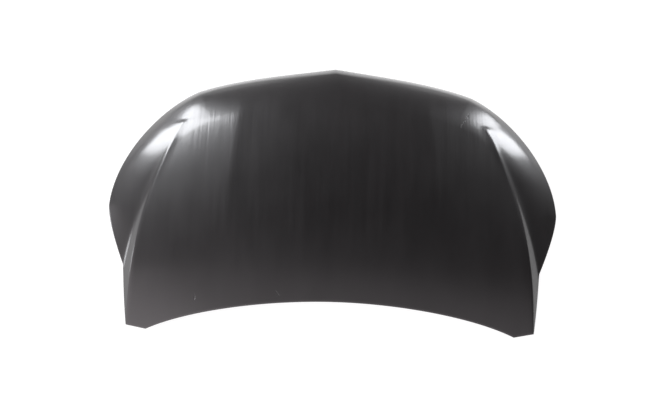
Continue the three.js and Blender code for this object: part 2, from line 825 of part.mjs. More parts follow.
// Flange bolt from below: its head under the seat plane at "foot" and its shank up to "tip".
function flangeBolt(foot, tip) {
  const head = solidFrom(plate(hexagon(boltHeadWidth), foot - boltFlangeHeight - boltHeadHeight, foot));
  const collar = solidFrom(rod(boltFlangeDiameter / 2, foot - boltFlangeHeight, foot, roundSides));
  const shank = solidFrom(rod(boltDiameter / 2, foot - boltFlangeHeight, tip, roundSides));
  return geometryFrom(head.add(collar).add(shank));
}

// Striker: a round wire bent to a U, its two ends butt-welded to the foot plate.
function strikerLoop(top) {
  const [half, bottom, r] = [strikerSpan / 2, top - strikerReach, strikerBend];
  const path = new THREE.CurvePath();
  const at = (x, z) => new THREE.Vector3(x, 0, z);
  const corner = (sx) => {
    const inner = at(sx * (half - r), bottom);
    const outer = at(sx * half, bottom + r);
    const knee = at(sx * half, bottom);
    return sx < 0
      ? new THREE.QuadraticBezierCurve3(outer, knee, inner)
      : new THREE.QuadraticBezierCurve3(inner, knee, outer);
  };
  path.add(new THREE.LineCurve3(at(-half, top), at(-half, bottom + r)));
  path.add(corner(-1));
  path.add(new THREE.LineCurve3(at(-half + r, bottom), at(half - r, bottom)));
  path.add(corner(1));
  path.add(new THREE.LineCurve3(at(half, bottom + r), at(half, top)));
  const section = new THREE.Shape(circle(strikerWire / 2, roundSides));
  return new THREE.ExtrudeGeometry(section, { steps: 18, extrudePath: path });
}

const bonnet = new THREE.Group();
bonnet.name = "car_bonnet";

function piece(name, geometry, finish, parent = bonnet) {
  const mesh = new THREE.Mesh(geometry, new THREE.MeshStandardMaterial(finish));
  mesh.name = name;
  parent.add(mesh);
  return mesh;
}

function seatGroup(matrix) {
  const group = new THREE.Group();
  group.applyMatrix4(matrix);
  bonnet.add(group);
  return group;
}

piece("outer_panel", outerPanelGeometry(), paint);
piece("inner_frame", geometryFrom(innerFrame()), innerPaint);

// Hinge seats: a thick plate lies in each, with its two weld nuts on top.
const seatFloor = frameThickness + fitGap;
for (const [side, label] of [
  [-1, "left"],
  [1, "right"],
]) {
  const seat = seatGroup(hingeFrame(side));
  const width = hingeSeatWidth - 2 * plateMargin;
  const length = hingeSeatLength - 2 * plateMargin;
  const top = seatFloor + hingePlateThickness;
  const corner = seatCorner - plateMargin;
  piece(
    `hinge_reinforcement_${label}`,
    drilledPlate(width, length, corner, seatFloor, top, hingeBolts),
    innerPaint,
    seat,
  );
  hingeBolts.forEach((bolt, n) => {
    const nut = piece(`hinge_weld_nut_${label}_${n ? "front" : "rear"}`, weldNut(top + fitGap), zinc, seat);
    nut.position.set(bolt.x, bolt.y, 0);
  });
}

// Latch seat: plate and nuts inside, striker foot, loop and bolts outside.
const latchSeat = seatGroup(latchFrame);
const latchTop = seatFloor + latchPlateThickness;
piece(
  "latch_reinforcement",
  drilledPlate(
    latchSeatWidth - 2 * plateMargin,
    latchSeatLength - 2 * plateMargin,
    seatCorner - plateMargin,
    seatFloor,
    latchTop,
    strikerBolts,
  ),
  innerPaint,
  latchSeat,
);
const footTop = -fitGap;
const footBottom = footTop - strikerPlateThickness;
piece(
  "striker_foot_plate",
  drilledPlate(
    strikerPlateWidth,
    strikerPlateLength,
    strikerPlateCorner,
    footBottom,
    footTop,
    strikerBolts,
  ),
  zinc,
  latchSeat,
);
piece("striker_loop", strikerLoop(footBottom - fitGap), zinc, latchSeat);
strikerBolts.forEach((bolt, n) => {
  const label = n ? "right" : "left";
  const nut = piece(`striker_weld_nut_${label}`, weldNut(latchTop + fitGap), zinc, latchSeat);
  nut.position.set(bolt.x, bolt.y, 0);
  const tip = latchTop + fitGap + nutHeight + boltEndMargin;
  const screw = piece(`striker_bolt_${label}`, flangeBolt(footBottom - fitGap, tip), zinc, latchSeat);
  screw.position.set(bolt.x, bolt.y, 0);
});

// Plate behind the slot that takes the prop stay's hook.
const staySeat = seatGroup(stayFrame);
const stayShape = roundedRectangle(
  staySeatWidth - 2 * plateMargin,
  staySeatLength - 2 * plateMargin,
  seatCorner - plateMargin,
);
const stayHole = roundedRectangle(staySlotLength, staySlotWidth, staySlotWidth / 2);
stayShape.holes.push(new THREE.Path(stayHole.getPoints()));
piece(
  "stay_reinforcement",
  plate(stayShape, seatFloor, seatFloor + stayPlateThickness),
  innerPaint,
  staySeat,
);

// Mastic pads on the lands, between the frame and the skin.
const masticSlab = solidFrom(slab(skinThickness + fitGap, landDepth - fitGap));
const pads = [];
for (const polygon of [rearMiddleWindow, frontMiddleWindow, rearSideWindow, frontSideWindow]) {
  const middle = inset(polygon, landWidth / 2);
  middle.forEach((a, n) => {
    const b = middle[(n + 1) % middle.length];
    if (a.distanceTo(b) < shortestPaddedSide) return;
    const centre = a.clone().lerp(b, 0.5);
    const heading = b.clone().sub(a).angle();
    pads.push({ centre, heading });
    if (polygon === rearSideWindow || polygon === frontSideWindow) {
      pads.push({ centre: vec(-centre.x, centre.y), heading: Math.PI - heading });
    }
  });
}
pads.forEach(({ centre, heading }, n) => {
  const outline = roundedRectangle(masticLength, masticWidth, masticCorner, 1);
  const block = plate(outline, -crownHeight, 2 * crownHeight);
  block.rotateZ(heading).translate(centre.x, centre.y, 0);
  const pad = solidFrom(block).intersect(masticSlab);
  piece(`mastic_pad_${String(n + 1).padStart(2, "0")}`, geometryFrom(pad), sealer);
});

// Sets the bonnet down: its lowest points touch the ground plane, and its box is centred on the origin.
const box = new THREE.Box3().setFromObject(bonnet, true);
bonnet.position.set(
  -(box.min.x + box.max.x) / 2,
  -(box.min.y + box.max.y) / 2,
  -box.min.z,
);

export default bonnet;
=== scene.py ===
"""Dresses the car bonnet: a smooth pressed skin over the framed CAD solids, in satin black primer.

The frame is the CAD model's: +X is the car's right-hand side, +Y points to the nose and +Z is up.
The bonnet lies on the ground with its skin upwards. BonnetForm, PlanGrid and OuterSkin reckon in
millimetres, which OuterSkin turns into metres as it places vertices. All else is in metres.
"""

import json
import logging
import math
from dataclasses import dataclass
from enum import Enum

import bpy
import numpy as np
from mathutils import Matrix, Vector


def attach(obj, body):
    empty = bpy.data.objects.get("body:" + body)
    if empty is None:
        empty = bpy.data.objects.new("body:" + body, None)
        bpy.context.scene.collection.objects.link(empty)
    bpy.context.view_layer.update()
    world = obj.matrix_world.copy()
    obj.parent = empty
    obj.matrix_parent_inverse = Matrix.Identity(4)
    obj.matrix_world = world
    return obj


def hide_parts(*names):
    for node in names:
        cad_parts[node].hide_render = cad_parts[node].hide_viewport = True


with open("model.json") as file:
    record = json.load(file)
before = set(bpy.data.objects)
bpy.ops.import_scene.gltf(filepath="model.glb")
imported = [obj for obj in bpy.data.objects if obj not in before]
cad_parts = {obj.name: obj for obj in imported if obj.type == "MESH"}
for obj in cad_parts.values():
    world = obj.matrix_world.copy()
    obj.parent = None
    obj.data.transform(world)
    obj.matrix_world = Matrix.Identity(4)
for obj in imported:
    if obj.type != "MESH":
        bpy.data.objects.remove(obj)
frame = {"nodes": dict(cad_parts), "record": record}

MM = 0.001
# How far the CAD model was set down when its lowest points met the ground, in millimetres.
GROUND_DROP = 1.785
# The room is a little warmer than the lamps.
ROOM_TINT = (1.0, 0.93, 0.965)
LAMP_TINT = (0.95, 0.965, 1.0)
# Blender's power for an area lamp of one square metre that shines with radiance 1.
LAMP_POWER = 4.0
# Places taken along a plan curve when it is looked up, and plan places measured at a time.
CURVE_SAMPLES = 400
BATCH = 4000
# Where most of a noise texture's values lie.
NOISE_SPAN = (0.3, 0.7)

Plan = tuple[float, float]
Triple = tuple[float, float, float]
Span = tuple[float, float]
Values = np.ndarray | float
Socket = bpy.types.NodeSocket
Inputs = dict[str | int, Socket | Vector | tuple | float]
log = logging.getLogger("bonnet")


class Slot(Enum):
    """Material slots of the record that the pieces take their finish from."""

    OUTER = "outer_paint"
    INNER = "inner_paint"
    ZINC = "zinc_plate"
    MASTIC = "mastic"


def lerp(a: Values, b: Values, t: Values) -> Values:
    """Blends two values by the second one's share."""
    return a + (b - a) * t


def smooth(t: Values) -> Values:
    """Eases a share in and out, clipped to 0 and 1."""
    t = np.clip(t, 0.0, 1.0)
    return t * t * (3.0 - 2.0 * t)


def soft_positive(value: np.ndarray, radius: float) -> np.ndarray:
    """Gives about max(0, value), with its corner rounded to a radius."""
    return 0.5 * (value + np.sqrt(value * value + radius * radius))


def bezier(points: list[Plan], t: np.ndarray) -> np.ndarray:
    """Evaluates a quadratic or cubic plan curve.

    Args:
        points: Three or four control points.
        t: Shares along the curve.

    Returns:
        One row of x, y for each share.
    """
    p = [np.asarray(point, dtype=float)[None, :] for point in points]
    t = np.asarray(t, dtype=float)[:, None]
    while len(p) > 1:
        p = [lerp(p[i], p[i + 1], t) for i in range(len(p) - 1)]
    return p[0] * np.ones_like(t)


@dataclass(frozen=True)
class Handle:
    """A plan curve's heading at an end, in degrees, and its handle as a share of the chord."""

    heading: float
    reach: float


@dataclass(frozen=True)
class BonnetForm:
    """Driving sizes of the skin, in millimetres, and the surface that they give.

    A place "back" is measured rearwards from the nose tip, and a "half" outwards from the middle.
    The rim is the narrow band at the front in which the last of the nose's drop falls. The line is
    the crease between the middle and a side, and the shoulder is the crease over the steep face
    that grows towards a rear corner. The pinch is the slight crest at the shoulder's front end.
    """

    length: float = 892.0
    half_width: float = 727.0
    widest_back: float = 485.0
    lamp_half: float = 455.0
    lamp_back: float = 82.0
    flank_end_half: float = 665.0
    flank_end_back: float = 684.0
    rear_half: float = 644.0
    rear_corner_lift: float = 15.0
    cowl_half: float = 579.0
    cowl_sweep: float = 80.0
    front_handles: tuple[Handle, Handle] = (Handle(-8.8, 0.36), Handle(-21.0, 0.3))
    lamp_handles: tuple[Handle, Handle] = (Handle(-27.0, 0.3), Handle(-88.0, 0.34))
    flank_handles: tuple[Handle, Handle] = (Handle(-92.0, 0.24), Handle(-112.0, 0.3))
    rear_side_handles: tuple[Handle, Handle] = (Handle(-95.0, 0.3), Handle(-98.0, 0.4))
    cowl_handles: tuple[Handle, Handle] = (Handle(158.5, 0.24), Handle(180.0, 0.34))
    crown_height: float = 146.0
    crown_back: float = 430.0
    crown_along: float = 1900.0
    crown_across: float = 2450.0
    nose_tightening: float = 0.00115
    edge_heights: Triple = (38.0, 12.0, 5.0)
    roll_widths: tuple[float, float, float, float] = (150.0, 150.0, 90.0, 60.0)
    roll_power: float = 2.0
    roll_samples: int = 60
    hem_flat: float = 12.0
    rim_share: float = 0.3
    rim_reach: float = 26.0
    rim_power: float = 1.6
    rim_from: float = 110.0
    line_half: Triple = (285.0, 345.0, 340.0)
    line_middle_back: float = 386.0
    line_start_back: float = 110.0
    line_rise: float = 90.0
    line_end_back: float = 720.0
    line_fade: float = 320.0
    line_radius: float = 8.0
    line_tilt: float = 0.03
    line_crest: float = 1.5
    line_crest_in: float = 70.0
    line_crest_out: float = 120.0
    shoulder_front: float = 430.0
    shoulder_pull: Plan = (567.0, 356.0)
    shoulder_rear_pull: Plan = (648.0, 556.0)
    shoulder_rear_in: float = 2.5
    shoulder_start_back: float = 230.0
    face_width: float = 30.0
    face_slope: float = 0.5
    face_steepening: float = 0.3
    pinch: float = 2.0
    pinch_back: float = 200.0
    pinch_rise: float = 18.0
    pinch_end_back: float = 470.0
    pinch_in: float = 28.0
    pinch_out: float = 60.0
    ridge_radius: float = 2.5
    valley_radius: float = 7.0

    def y(self, back: float) -> float:
        """Turns a distance back from the nose tip into y."""
        return self.length / 2 - back

    @staticmethod
    def sweep(a: Plan, b: Plan, handles: tuple[Handle, Handle]) -> list[Plan]:
        """Gives the control points of a plan curve from its ends and handles.

        Args:
            a: Where it starts.
            b: Where it ends.
            handles: The handles at its start and its end.

        Returns:
            Four control points.
        """
        chord = math.dist(a, b)
        ra, rb = (math.radians(handle.heading) for handle in handles)
        pull_a, pull_b = (handle.reach * chord for handle in handles)
        return [
            a,
            (a[0] + pull_a * math.cos(ra), a[1] + pull_a * math.sin(ra)),
            (b[0] - pull_b * math.cos(rb), b[1] - pull_b * math.sin(rb)),
            b,
        ]

    @property
    def nose(self) -> Plan:
        """Plan point of the nose tip."""
        return (0.0, self.y(0))

    @property
    def lamp(self) -> Plan:
        """Plan point where the front edge turns into the lamp edge."""
        return (self.lamp_half, self.y(self.lamp_back))

    @property
    def widest(self) -> Plan:
        """Plan point of the widest place."""
        return (self.half_width, self.y(self.widest_back))

    @property
    def flank_end(self) -> Plan:
        """Plan point where the flank meets the rear side edge."""
        return (self.flank_end_half, self.y(self.flank_end_back))

    @property
    def rear_outer(self) -> Plan:
        """Plan point of the outer rear corner."""
        return (self.rear_half, self.y(self.length - self.rear_corner_lift))

    @property
    def rear_inner(self) -> Plan:
        """Plan point of the inner rear corner."""
        return (self.cowl_half, self.y(self.length))

    @property
    def cowl_centre(self) -> Plan:
        """Plan point of the middle of the cowl edge."""
        return (0.0, self.y(self.length - self.cowl_sweep))

    def edges(self) -> dict[str, list[Plan]]:
        """Shapes the outline's right-hand half.

        Returns:
            The edges' control points by name.
        """
        return {
            "front": self.sweep(self.nose, self.lamp, self.front_handles),
            "lamp": self.sweep(self.lamp, self.widest, self.lamp_handles),
            "flank": self.sweep(self.widest, self.flank_end, self.flank_handles),
            "rear_side": self.sweep(self.flank_end, self.rear_outer, self.rear_side_handles),
            "cowl": self.sweep(self.rear_inner, self.cowl_centre, self.cowl_handles),
        }

    def front_y(self, x: np.ndarray) -> np.ndarray:
        """Gives y of the front edge at each x."""
        points = bezier(self.edges()["front"], np.linspace(0, 1, CURVE_SAMPLES))
        return np.interp(x, points[:, 0], points[:, 1])

    def rear_y(self, x: np.ndarray) -> np.ndarray:
        """Gives y of the cowl edge and the cut rear corner at each x."""
        cowl = bezier(self.edges()["cowl"], np.linspace(1, 0, CURVE_SAMPLES))
        return np.interp(x, *np.append(cowl, [self.rear_outer], 0).T)

    def on_front(self, x: float) -> Plan:
        """Gives the front edge's plan point at one x."""
        return (x, float(self.front_y(np.array([x]))[0]))

    def on_rear(self, x: float) -> Plan:
        """Gives the rear edge's plan point at one x."""
        return (x, float(self.rear_y(np.array([x]))[0]))

    def bonnet_line(self) -> list[Plan]:
        """Gives the control points of the bonnet line beside the middle."""
        front, middle, rear = self.line_half
        return [self.on_front(front), (middle, self.y(self.line_middle_back)), self.on_rear(rear)]

    def shoulder_line(self) -> list[Plan]:
        """Shapes the shoulder line.

        Returns:
            Its control points, from the front.
        """
        return [
            self.on_front(self.shoulder_front),
            (self.shoulder_pull[0], self.y(self.shoulder_pull[1])),
            (self.shoulder_rear_pull[0], self.y(self.shoulder_rear_pull[1])),
            self.on_rear(self.rear_half - self.shoulder_rear_in),
        ]

    @staticmethod
    def line_x(controls: list[Plan], y: np.ndarray) -> np.ndarray:
        """Looks up x of a front-to-rear line at each y."""
        points = bezier(controls, np.linspace(1, 0, CURVE_SAMPLES))
        return np.interp(y, points[:, 1], points[:, 0])

    def face(self, y: np.ndarray) -> tuple[np.ndarray, np.ndarray]:
        """Sizes the shoulder's face.

        Args:
            y: Places along the car.

        Returns:
            The face's width and its drop at each y.
        """
        start = self.y(self.shoulder_start_back)
        share = np.maximum(0.0, (start - y) / (start - self.flank_end[1]))
        width = self.face_width * share
        return width, width * (self.face_slope + self.face_steepening * share)

    def base_height(self, x: np.ndarray, y: np.ndarray) -> np.ndarray:
        """Gives the skin's height before its edge rolls over.

        Args:
            x: Across the car.
            y: Along the car.

        Returns:
            The heights.
        """
        across = np.abs(x)
        ahead = y - self.y(self.crown_back)
        tighter = 1 + self.nose_tightening * np.maximum(0.0, ahead)
        z = self.crown_height - ahead**2 / (2 * self.crown_along) * tighter
        z = z - across**2 / (2 * self.crown_across)
        strength = smooth((self.y(self.line_start_back) - y) / self.line_rise)
        strength = strength * smooth((y - self.y(self.line_end_back)) / self.line_fade)
        past = across - self.line_x(self.bonnet_line(), y)
        z = z - strength * self.line_tilt * soft_positive(past, self.line_radius)
        reach = np.where(past < 0, self.line_crest_in, self.line_crest_out)
        z = z + strength * self.line_crest * np.maximum(0.0, 1 - np.abs(past) / reach) ** 2
        width, drop = self.face(y)
        outboard = across - self.line_x(self.shoulder_line(), y)
        ramp = soft_positive(outboard, self.ridge_radius) - soft_positive(
            outboard - width, self.valley_radius
        )
        slope = np.divide(drop, width, out=np.zeros_like(drop), where=width > 0)
        rising = smooth((self.y(self.pinch_back) - y) / self.pinch_rise)
        fading = smooth((y - self.y(self.pinch_end_back)) / (self.pinch_end_back - self.pinch_back))
        reach = np.where(outboard < 0, self.pinch_in, self.pinch_out)
        z = z + self.pinch * rising * fading * np.maximum(0.0, 1 - np.abs(outboard) / reach) ** 2
        return z - slope * np.clip(ramp, 0, width)

    def roll_table(self) -> tuple[np.ndarray, np.ndarray, np.ndarray]:
        """Measures the roll along the front, lamp and flank edges.

        Returns:
            Points along the edges, and the roll's drop and its width at each.
        """
        edges = self.edges()
        nose, lamp, side = self.edge_heights
        widths = self.roll_widths
        points, drops, reaches = [], [], []
        share = np.linspace(0, 1, self.roll_samples)
        plan = [("front", nose, lamp), ("lamp", lamp, side), ("flank", side, side)]
        for k, (name, low, high) in enumerate(plan):
            p = bezier(edges[name], share)
            base = self.base_height(p[:, 0], p[:, 1])
            if name == "flank":
                top = self.base_height(np.array([self.widest[0]]), np.array([self.widest[1]]))[0]
                drop = (1 - smooth(share)) * (top - side)
            else:
                drop = base - lerp(low, high, smooth(share))
            points.append(p)
            drops.append(drop)
            reaches.append(lerp(widths[k], widths[k + 1], share))
        return np.concatenate(points), np.concatenate(drops), np.concatenate(reaches)

    def rimmed_share(self, inside: np.ndarray, width: np.ndarray) -> np.ndarray:
        """Gives the roll's share where the last of the front's drop falls within the rim.

        Args:
            inside: Distances inside the edge.
            width: The roll's width at each.

        Returns:
            Shares of the roll's drop.
        """
        front = np.clip((width - self.rim_from) / (self.roll_widths[0] - self.rim_from), 0.0, 1.0)
        rim = self.rim_share * front
        turned = np.maximum(0.0, 1 - inside / self.rim_reach) ** self.rim_power
        return (1 - rim) * self.roll_share(inside, width) + rim * turned

    def roll_share(self, inside: np.ndarray, width: np.ndarray) -> np.ndarray:
        """Gives the share of the roll's drop at a distance inside the edge.

        Args:
            inside: Distances inside the edge.
            width: The roll's width at each.

        Returns:
            Shares of the roll's drop.
        """
        t = np.maximum(0.0, 1 - inside / width)
        bend = 1 - self.hem_flat / width
        steep = self.roll_power * bend ** (self.roll_power - 1)

        def straight(at: Values) -> Values:
            """Carries the bend on as a straight flange, on which the hem lies flat."""
            return bend**self.roll_power + steep * (at - bend)

        return np.where(t < bend, t**self.roll_power, straight(t)) / straight(1.0)

    def height(self, x: np.ndarray, y: np.ndarray, rimmed: bool = False) -> np.ndarray:
        """Gives the height of the skin's outer face over the ground.

        Args:
            x: Across the car.
            y: Along the car.
            rimmed: Whether the front turns down within a narrow rim, as the outer face does.

        Returns:
            The heights.
        """
        points, drops, widths = self.roll_table()
        a, b = points[:-1], points[1:]
        run = b - a
        length2 = np.maximum((run**2).sum(1), 1e-9)
        here = np.stack([np.abs(x), y], -1)
        depth = np.empty(len(here))
        for start in range(0, len(here), BATCH):
            part = here[start : start + BATCH]
            rel = part[:, None, :] - a[None]
            t = np.clip((rel * run[None]).sum(-1) / length2, 0, 1)
            gap = rel - t[..., None] * run[None]
            square = (gap**2).sum(-1)
            k = square.argmin(1)
            row = np.arange(len(part))
            share = t[row, k]
            drop = lerp(drops[k], drops[k + 1], share)
            width = lerp(widths[k], widths[k + 1], share)
            law = self.rimmed_share if rimmed else self.roll_share
            depth[start : start + BATCH] = drop * law(np.sqrt(square[row, k]), width)
        return self.base_height(x, y) - depth

    def normal(self, x: np.ndarray, y: np.ndarray, reach: float = 0.6) -> np.ndarray:
        """Gives the outward normal of the skin, without its rim.

        Args:
            x: Across the car.
            y: Along the car.
            reach: How far to each side the slope is read.

        Returns:
            One unit normal for each place.
        """
        dx = (self.height(x + reach, y) - self.height(x - reach, y)) / (2 * reach)
        dy = (self.height(x, y + reach) - self.height(x, y - reach)) / (2 * reach)
        n = np.stack([-dx, -dy, np.ones_like(dx)], -1)
        return n / np.linalg.norm(n, axis=1, keepdims=True)


@dataclass
class PlanGrid:
    """A grid of plan points over the whole bonnet, from left to right and from rear to front.

    Its columns follow the bonnet lines and the shoulder lines, so that the skin's creases fall
    on them. flank_row and widest_row are the row shares at which the side's edge curves meet, and
    corner_share is the share of the outer columns that reach the inner rear corner.
    """

    form: BonnetForm
    rows: int = 190
    middle_columns: int = 22
    outer_columns: int = 30
    side_columns: int = 36
    corner_share: float = 0.72
    line_samples: int = 500
    edge_samples: int = 300
    row_samples: int = 2001
    flank_row: float = 0.28
    widest_row: float = 0.478
    lamp_split: float = 0.34
    front_from: float = 0.7
    front_crowding: float = 1.2

    @staticmethod
    def _along(points: np.ndarray, share: np.ndarray) -> np.ndarray:
        """Finds places along a run of points.

        Args:
            points: The run.
            share: Shares of its length, clipped to 0 and 1.

        Returns:
            One point for each share.
        """
        steps = np.linalg.norm(np.diff(points, axis=0), axis=1)
        total = np.concatenate([[0.0], np.cumsum(steps)])
        wanted = np.clip(share, 0, 1) * total[-1]
        return np.stack([np.interp(wanted, total, points[:, k]) for k in (0, 1)], -1)

    def _line(self, controls: list[Plan], v: np.ndarray) -> np.ndarray:
        """Finds places on a front-to-rear line.

        Args:
            controls: The line's control points.
            v: Shares of its reach in y, from the rear.

        Returns:
            One point for each share.
        """
        points = bezier(controls, np.linspace(1, 0, self.line_samples))
        y = lerp(points[0, 1], points[-1, 1], v)
        return np.stack([np.interp(y, points[:, 1], points[:, 0]), y], -1)

    @staticmethod
    def _patch(
        u: np.ndarray,
        v: np.ndarray,
        left: np.ndarray,
        right: np.ndarray,
        rear: np.ndarray,
        front: np.ndarray,
    ) -> np.ndarray:
        """Blends a patch from its four sides.

        Args:
            u: Column shares.
            v: Row shares.
            left: One point for each row.
            right: One point for each row.
            rear: One point for each column.
            front: One point for each column.

        Returns:
            Points by row and column.
        """
        uu, vv = u[None, :, None], v[:, None, None]
        along = lerp(rear[None], front[None], vv)
        across = lerp(left[:, None], right[:, None], uu)
        corners = lerp(lerp(rear[0], rear[-1], uu), lerp(front[0], front[-1], uu), vv)
        return along + across - corners

    def row_shares(self) -> np.ndarray:
        """Spaces the rows, closer together where the front edge rolls over.

        Returns:
            Shares from the rear.
        """
        fine = np.linspace(0, 1, self.row_samples)
        weight = 1 + self.front_crowding * smooth((fine - self.front_from) / (1 - self.front_from))
        total = np.concatenate([[0.0], np.cumsum((weight[1:] + weight[:-1]) / 2)])
        return np.interp(np.linspace(0, total[-1], self.rows + 1), total, fine)

    def _rear_run(self, x: np.ndarray) -> np.ndarray:
        """Gives the rear edge's points at each x."""
        return np.stack([x, self.form.rear_y(x)], -1)

    def _front_run(self, x: np.ndarray) -> np.ndarray:
        """Gives the front edge's points at each x."""
        return np.stack([x, self.form.front_y(x)], -1)

    def _outer_shares(self, corner: float) -> np.ndarray:
        """Spaces the columns between the bonnet line and the shoulder, with one on the corner.

        Args:
            corner: The inner rear corner's share of the way.

        Returns:
            The columns' shares.
        """
        before = round(self.outer_columns * self.corner_share)
        inner = np.linspace(0, corner, before + 1)[:-1]
        outer = np.linspace(corner, 1, self.outer_columns - before + 1)
        return np.concatenate([inner, outer])

    def _side_edges(self, v: np.ndarray, shoulder_front: float) -> tuple[np.ndarray, np.ndarray]:
        """Follows the outline outboard of the shoulder.

        Args:
            v: The rows' shares.
            shoulder_front: Where the shoulder meets the front edge, across the car.

        Returns:
            The side's point for each row, and a dense run along the front and lamp edges.
        """
        edges = self.form.edges()
        dense = np.linspace(0, 1, self.edge_samples)
        front, lamp = bezier(edges["front"], dense), bezier(edges["lamp"], dense)
        split = int(self.lamp_split * len(dense))
        start = np.array([self.form.on_front(shoulder_front)])
        ahead = np.concatenate([start, front[front[:, 0] > shoulder_front], lamp[1 : split + 1]])
        rear_side = bezier(edges["rear_side"], dense)[::-1]
        flank = bezier(edges["flank"], dense)[::-1]
        low, high = v < self.flank_row, v >= self.widest_row
        mid = ~low & ~high
        side = np.empty((len(v), 2))
        side[low] = self._along(rear_side, v[low] / self.flank_row)
        flank_rows = self.widest_row - self.flank_row
        side[mid] = self._along(flank, (v[mid] - self.flank_row) / flank_rows)
        lamp_share = (v[high] - self.widest_row) / (1 - self.widest_row)
        side[high] = self._along(lamp[split:][::-1], lamp_share)
        return side, ahead

    def half(self) -> np.ndarray:
        """Lays out the right-hand half in three patches, parted by its two creases.

        Returns:
            Points by row from the rear and by column from the middle.
        """
        form, v = self.form, self.row_shares()
        line, shoulder = form.bonnet_line(), form.shoulder_line()
        line_rear, shoulder_rear = line[-1][0], shoulder[-1][0]
        line_front, shoulder_front = line[0][0], shoulder[0][0]
        centre = np.stack([v * 0, lerp(form.cowl_centre[1], form.nose[1], v)], -1)
        on_line, on_shoulder = self._line(line, v), self._line(shoulder, v)
        side, ahead = self._side_edges(v, shoulder_front)

        u = np.linspace(0, 1, self.middle_columns + 1)
        rear, front = self._rear_run(u * line_rear), self._front_run(u * line_front)
        middle = self._patch(u, v, centre, on_line, rear, front)

        u = self._outer_shares((form.cowl_half - line_rear) / (shoulder_rear - line_rear))
        rear = self._rear_run(lerp(line_rear, shoulder_rear, u))
        front = self._front_run(lerp(line_front, shoulder_front, u))
        outer = self._patch(u, v, on_line, on_shoulder, rear, front)

        u = np.linspace(0, 1, self.side_columns + 1)
        rear = self._rear_run(lerp(shoulder_rear, side[0, 0], u))
        beside = self._patch(u, v, on_shoulder, side, rear, self._along(ahead, u))
        return np.concatenate([middle, outer[:, 1:], beside[:, 1:]], axis=1)

    def points(self) -> np.ndarray:
        """Gives the whole grid's points, by row and column, left to right."""
        right = self.half()
        return np.concatenate([right[:, :0:-1] * np.array([-1.0, 1.0]), right], axis=1)


@dataclass(frozen=True)
class Pattern:
    """A noise texture: its scale, its detail, and how it is squeezed along each axis."""

    scale: float
    detail: float
    squeeze: Triple | None = None


@dataclass(frozen=True)
class Shading:
    """Adds nodes to one node tree, around the coordinates that its patterns read."""

    tree: bpy.types.NodeTree
    place: Socket | None = None

    def fill(self, node: bpy.types.Node, inputs: Inputs) -> bpy.types.Node:
        """Gives a node's sockets their values.

        Args:
            node: The node.
            inputs: Other nodes' outputs, or constants, by socket.

        Returns:
            The node.
        """
        for name, value in inputs.items():
            if isinstance(value, Socket):
                self.tree.links.new(value, node.inputs[name])
            else:
                node.inputs[name].default_value = value
        return node

    def add(self, kind: str, inputs: Inputs) -> bpy.types.Node:
        """Adds a node, of Blender's kind, and fills its sockets."""
        return self.fill(self.tree.nodes.new("ShaderNode" + kind), inputs)

    def math(self, operation: str, a: Socket | float, b: Socket | float = 0.0) -> Socket:
        """Combines two values.

        Args:
            operation: Blender's name for the way.
            a: First value.
            b: Second value.

        Returns:
            The result.
        """
        node = self.add("Math", {0: a, 1: b})
        node.operation = operation
        return node.outputs["Value"]

    def against(self, operation: str, vector: Vector) -> Socket:
        """Measures the place against a vector.

        Args:
            operation: DOT_PRODUCT or DISTANCE.
            vector: The vector.

        Returns:
            The result.
        """
        node = self.add("VectorMath", {0: self.place, 1: vector})
        node.operation = operation
        return node.outputs["Value"]

    def past(self, start: Vector, way: Vector) -> Socket:
        """Measures how far past a point the place lies, along a direction."""
        return self.math("SUBTRACT", self.against("DOT_PRODUCT", way), float(start.dot(way)))

    def noise(self, pattern: Pattern) -> Socket:
        """Lays a noise texture.

        Args:
            pattern: Its pattern.

        Returns:
            Values about 0.5.
        """
        source = self.place
        if pattern.squeeze is not None:
            squeezed = {"Scale": pattern.squeeze, "Vector": source}
            source = self.add("Mapping", squeezed).outputs["Vector"]
        inputs = {"Scale": pattern.scale, "Detail": pattern.detail, "Vector": source}
        return self.add("TexNoise", inputs).outputs["Fac"]

    def ranged(self, value: Socket, low: float, high: float, ends: Span) -> Socket:
        """Spreads a value, from its two ends, between two others that it doesn't pass."""
        to = {"From Min": ends[0], "From Max": ends[1], "To Min": low, "To Max": high}
        return self.add("MapRange", to | {"Value": value}).outputs["Result"]

    def tint(self, share: Socket, low: Triple, high: Triple) -> Socket:
        """Blends two colours.

        Args:
            share: The second colour's share.
            low: The first colour.
            high: The second colour.

        Returns:
            The colour.
        """
        node = self.add("Mix", {})
        node.data_type = "RGBA"
        self.fill(node, {"A": (*low, 1.0), "B": (*high, 1.0), "Factor": share})
        return node.outputs["Result"]

    def bump(self, height: Socket, depth: float, under: Socket | None = None) -> bpy.types.Node:
        """Adds a bump whose height 1 is a depth in metres, laid over another's normal."""
        node = self.add("Bump", {"Distance": depth, "Height": height})
        return node if under is None else self.fill(node, {"Normal": under})


def new_material(name: str) -> tuple[bpy.types.Material, bpy.types.Node, Shading]:
    """Starts a material whose patterns read Object coordinates.

    Args:
        name: Its name.

    Returns:
        The material, its shader, and what adds nodes to its tree.
    """
    material = bpy.data.materials.new(name)
    material.use_nodes = True
    tree = material.node_tree
    place = tree.nodes.new("ShaderNodeTexCoord").outputs["Object"]
    return material, tree.nodes["Principled BSDF"], Shading(tree, place)


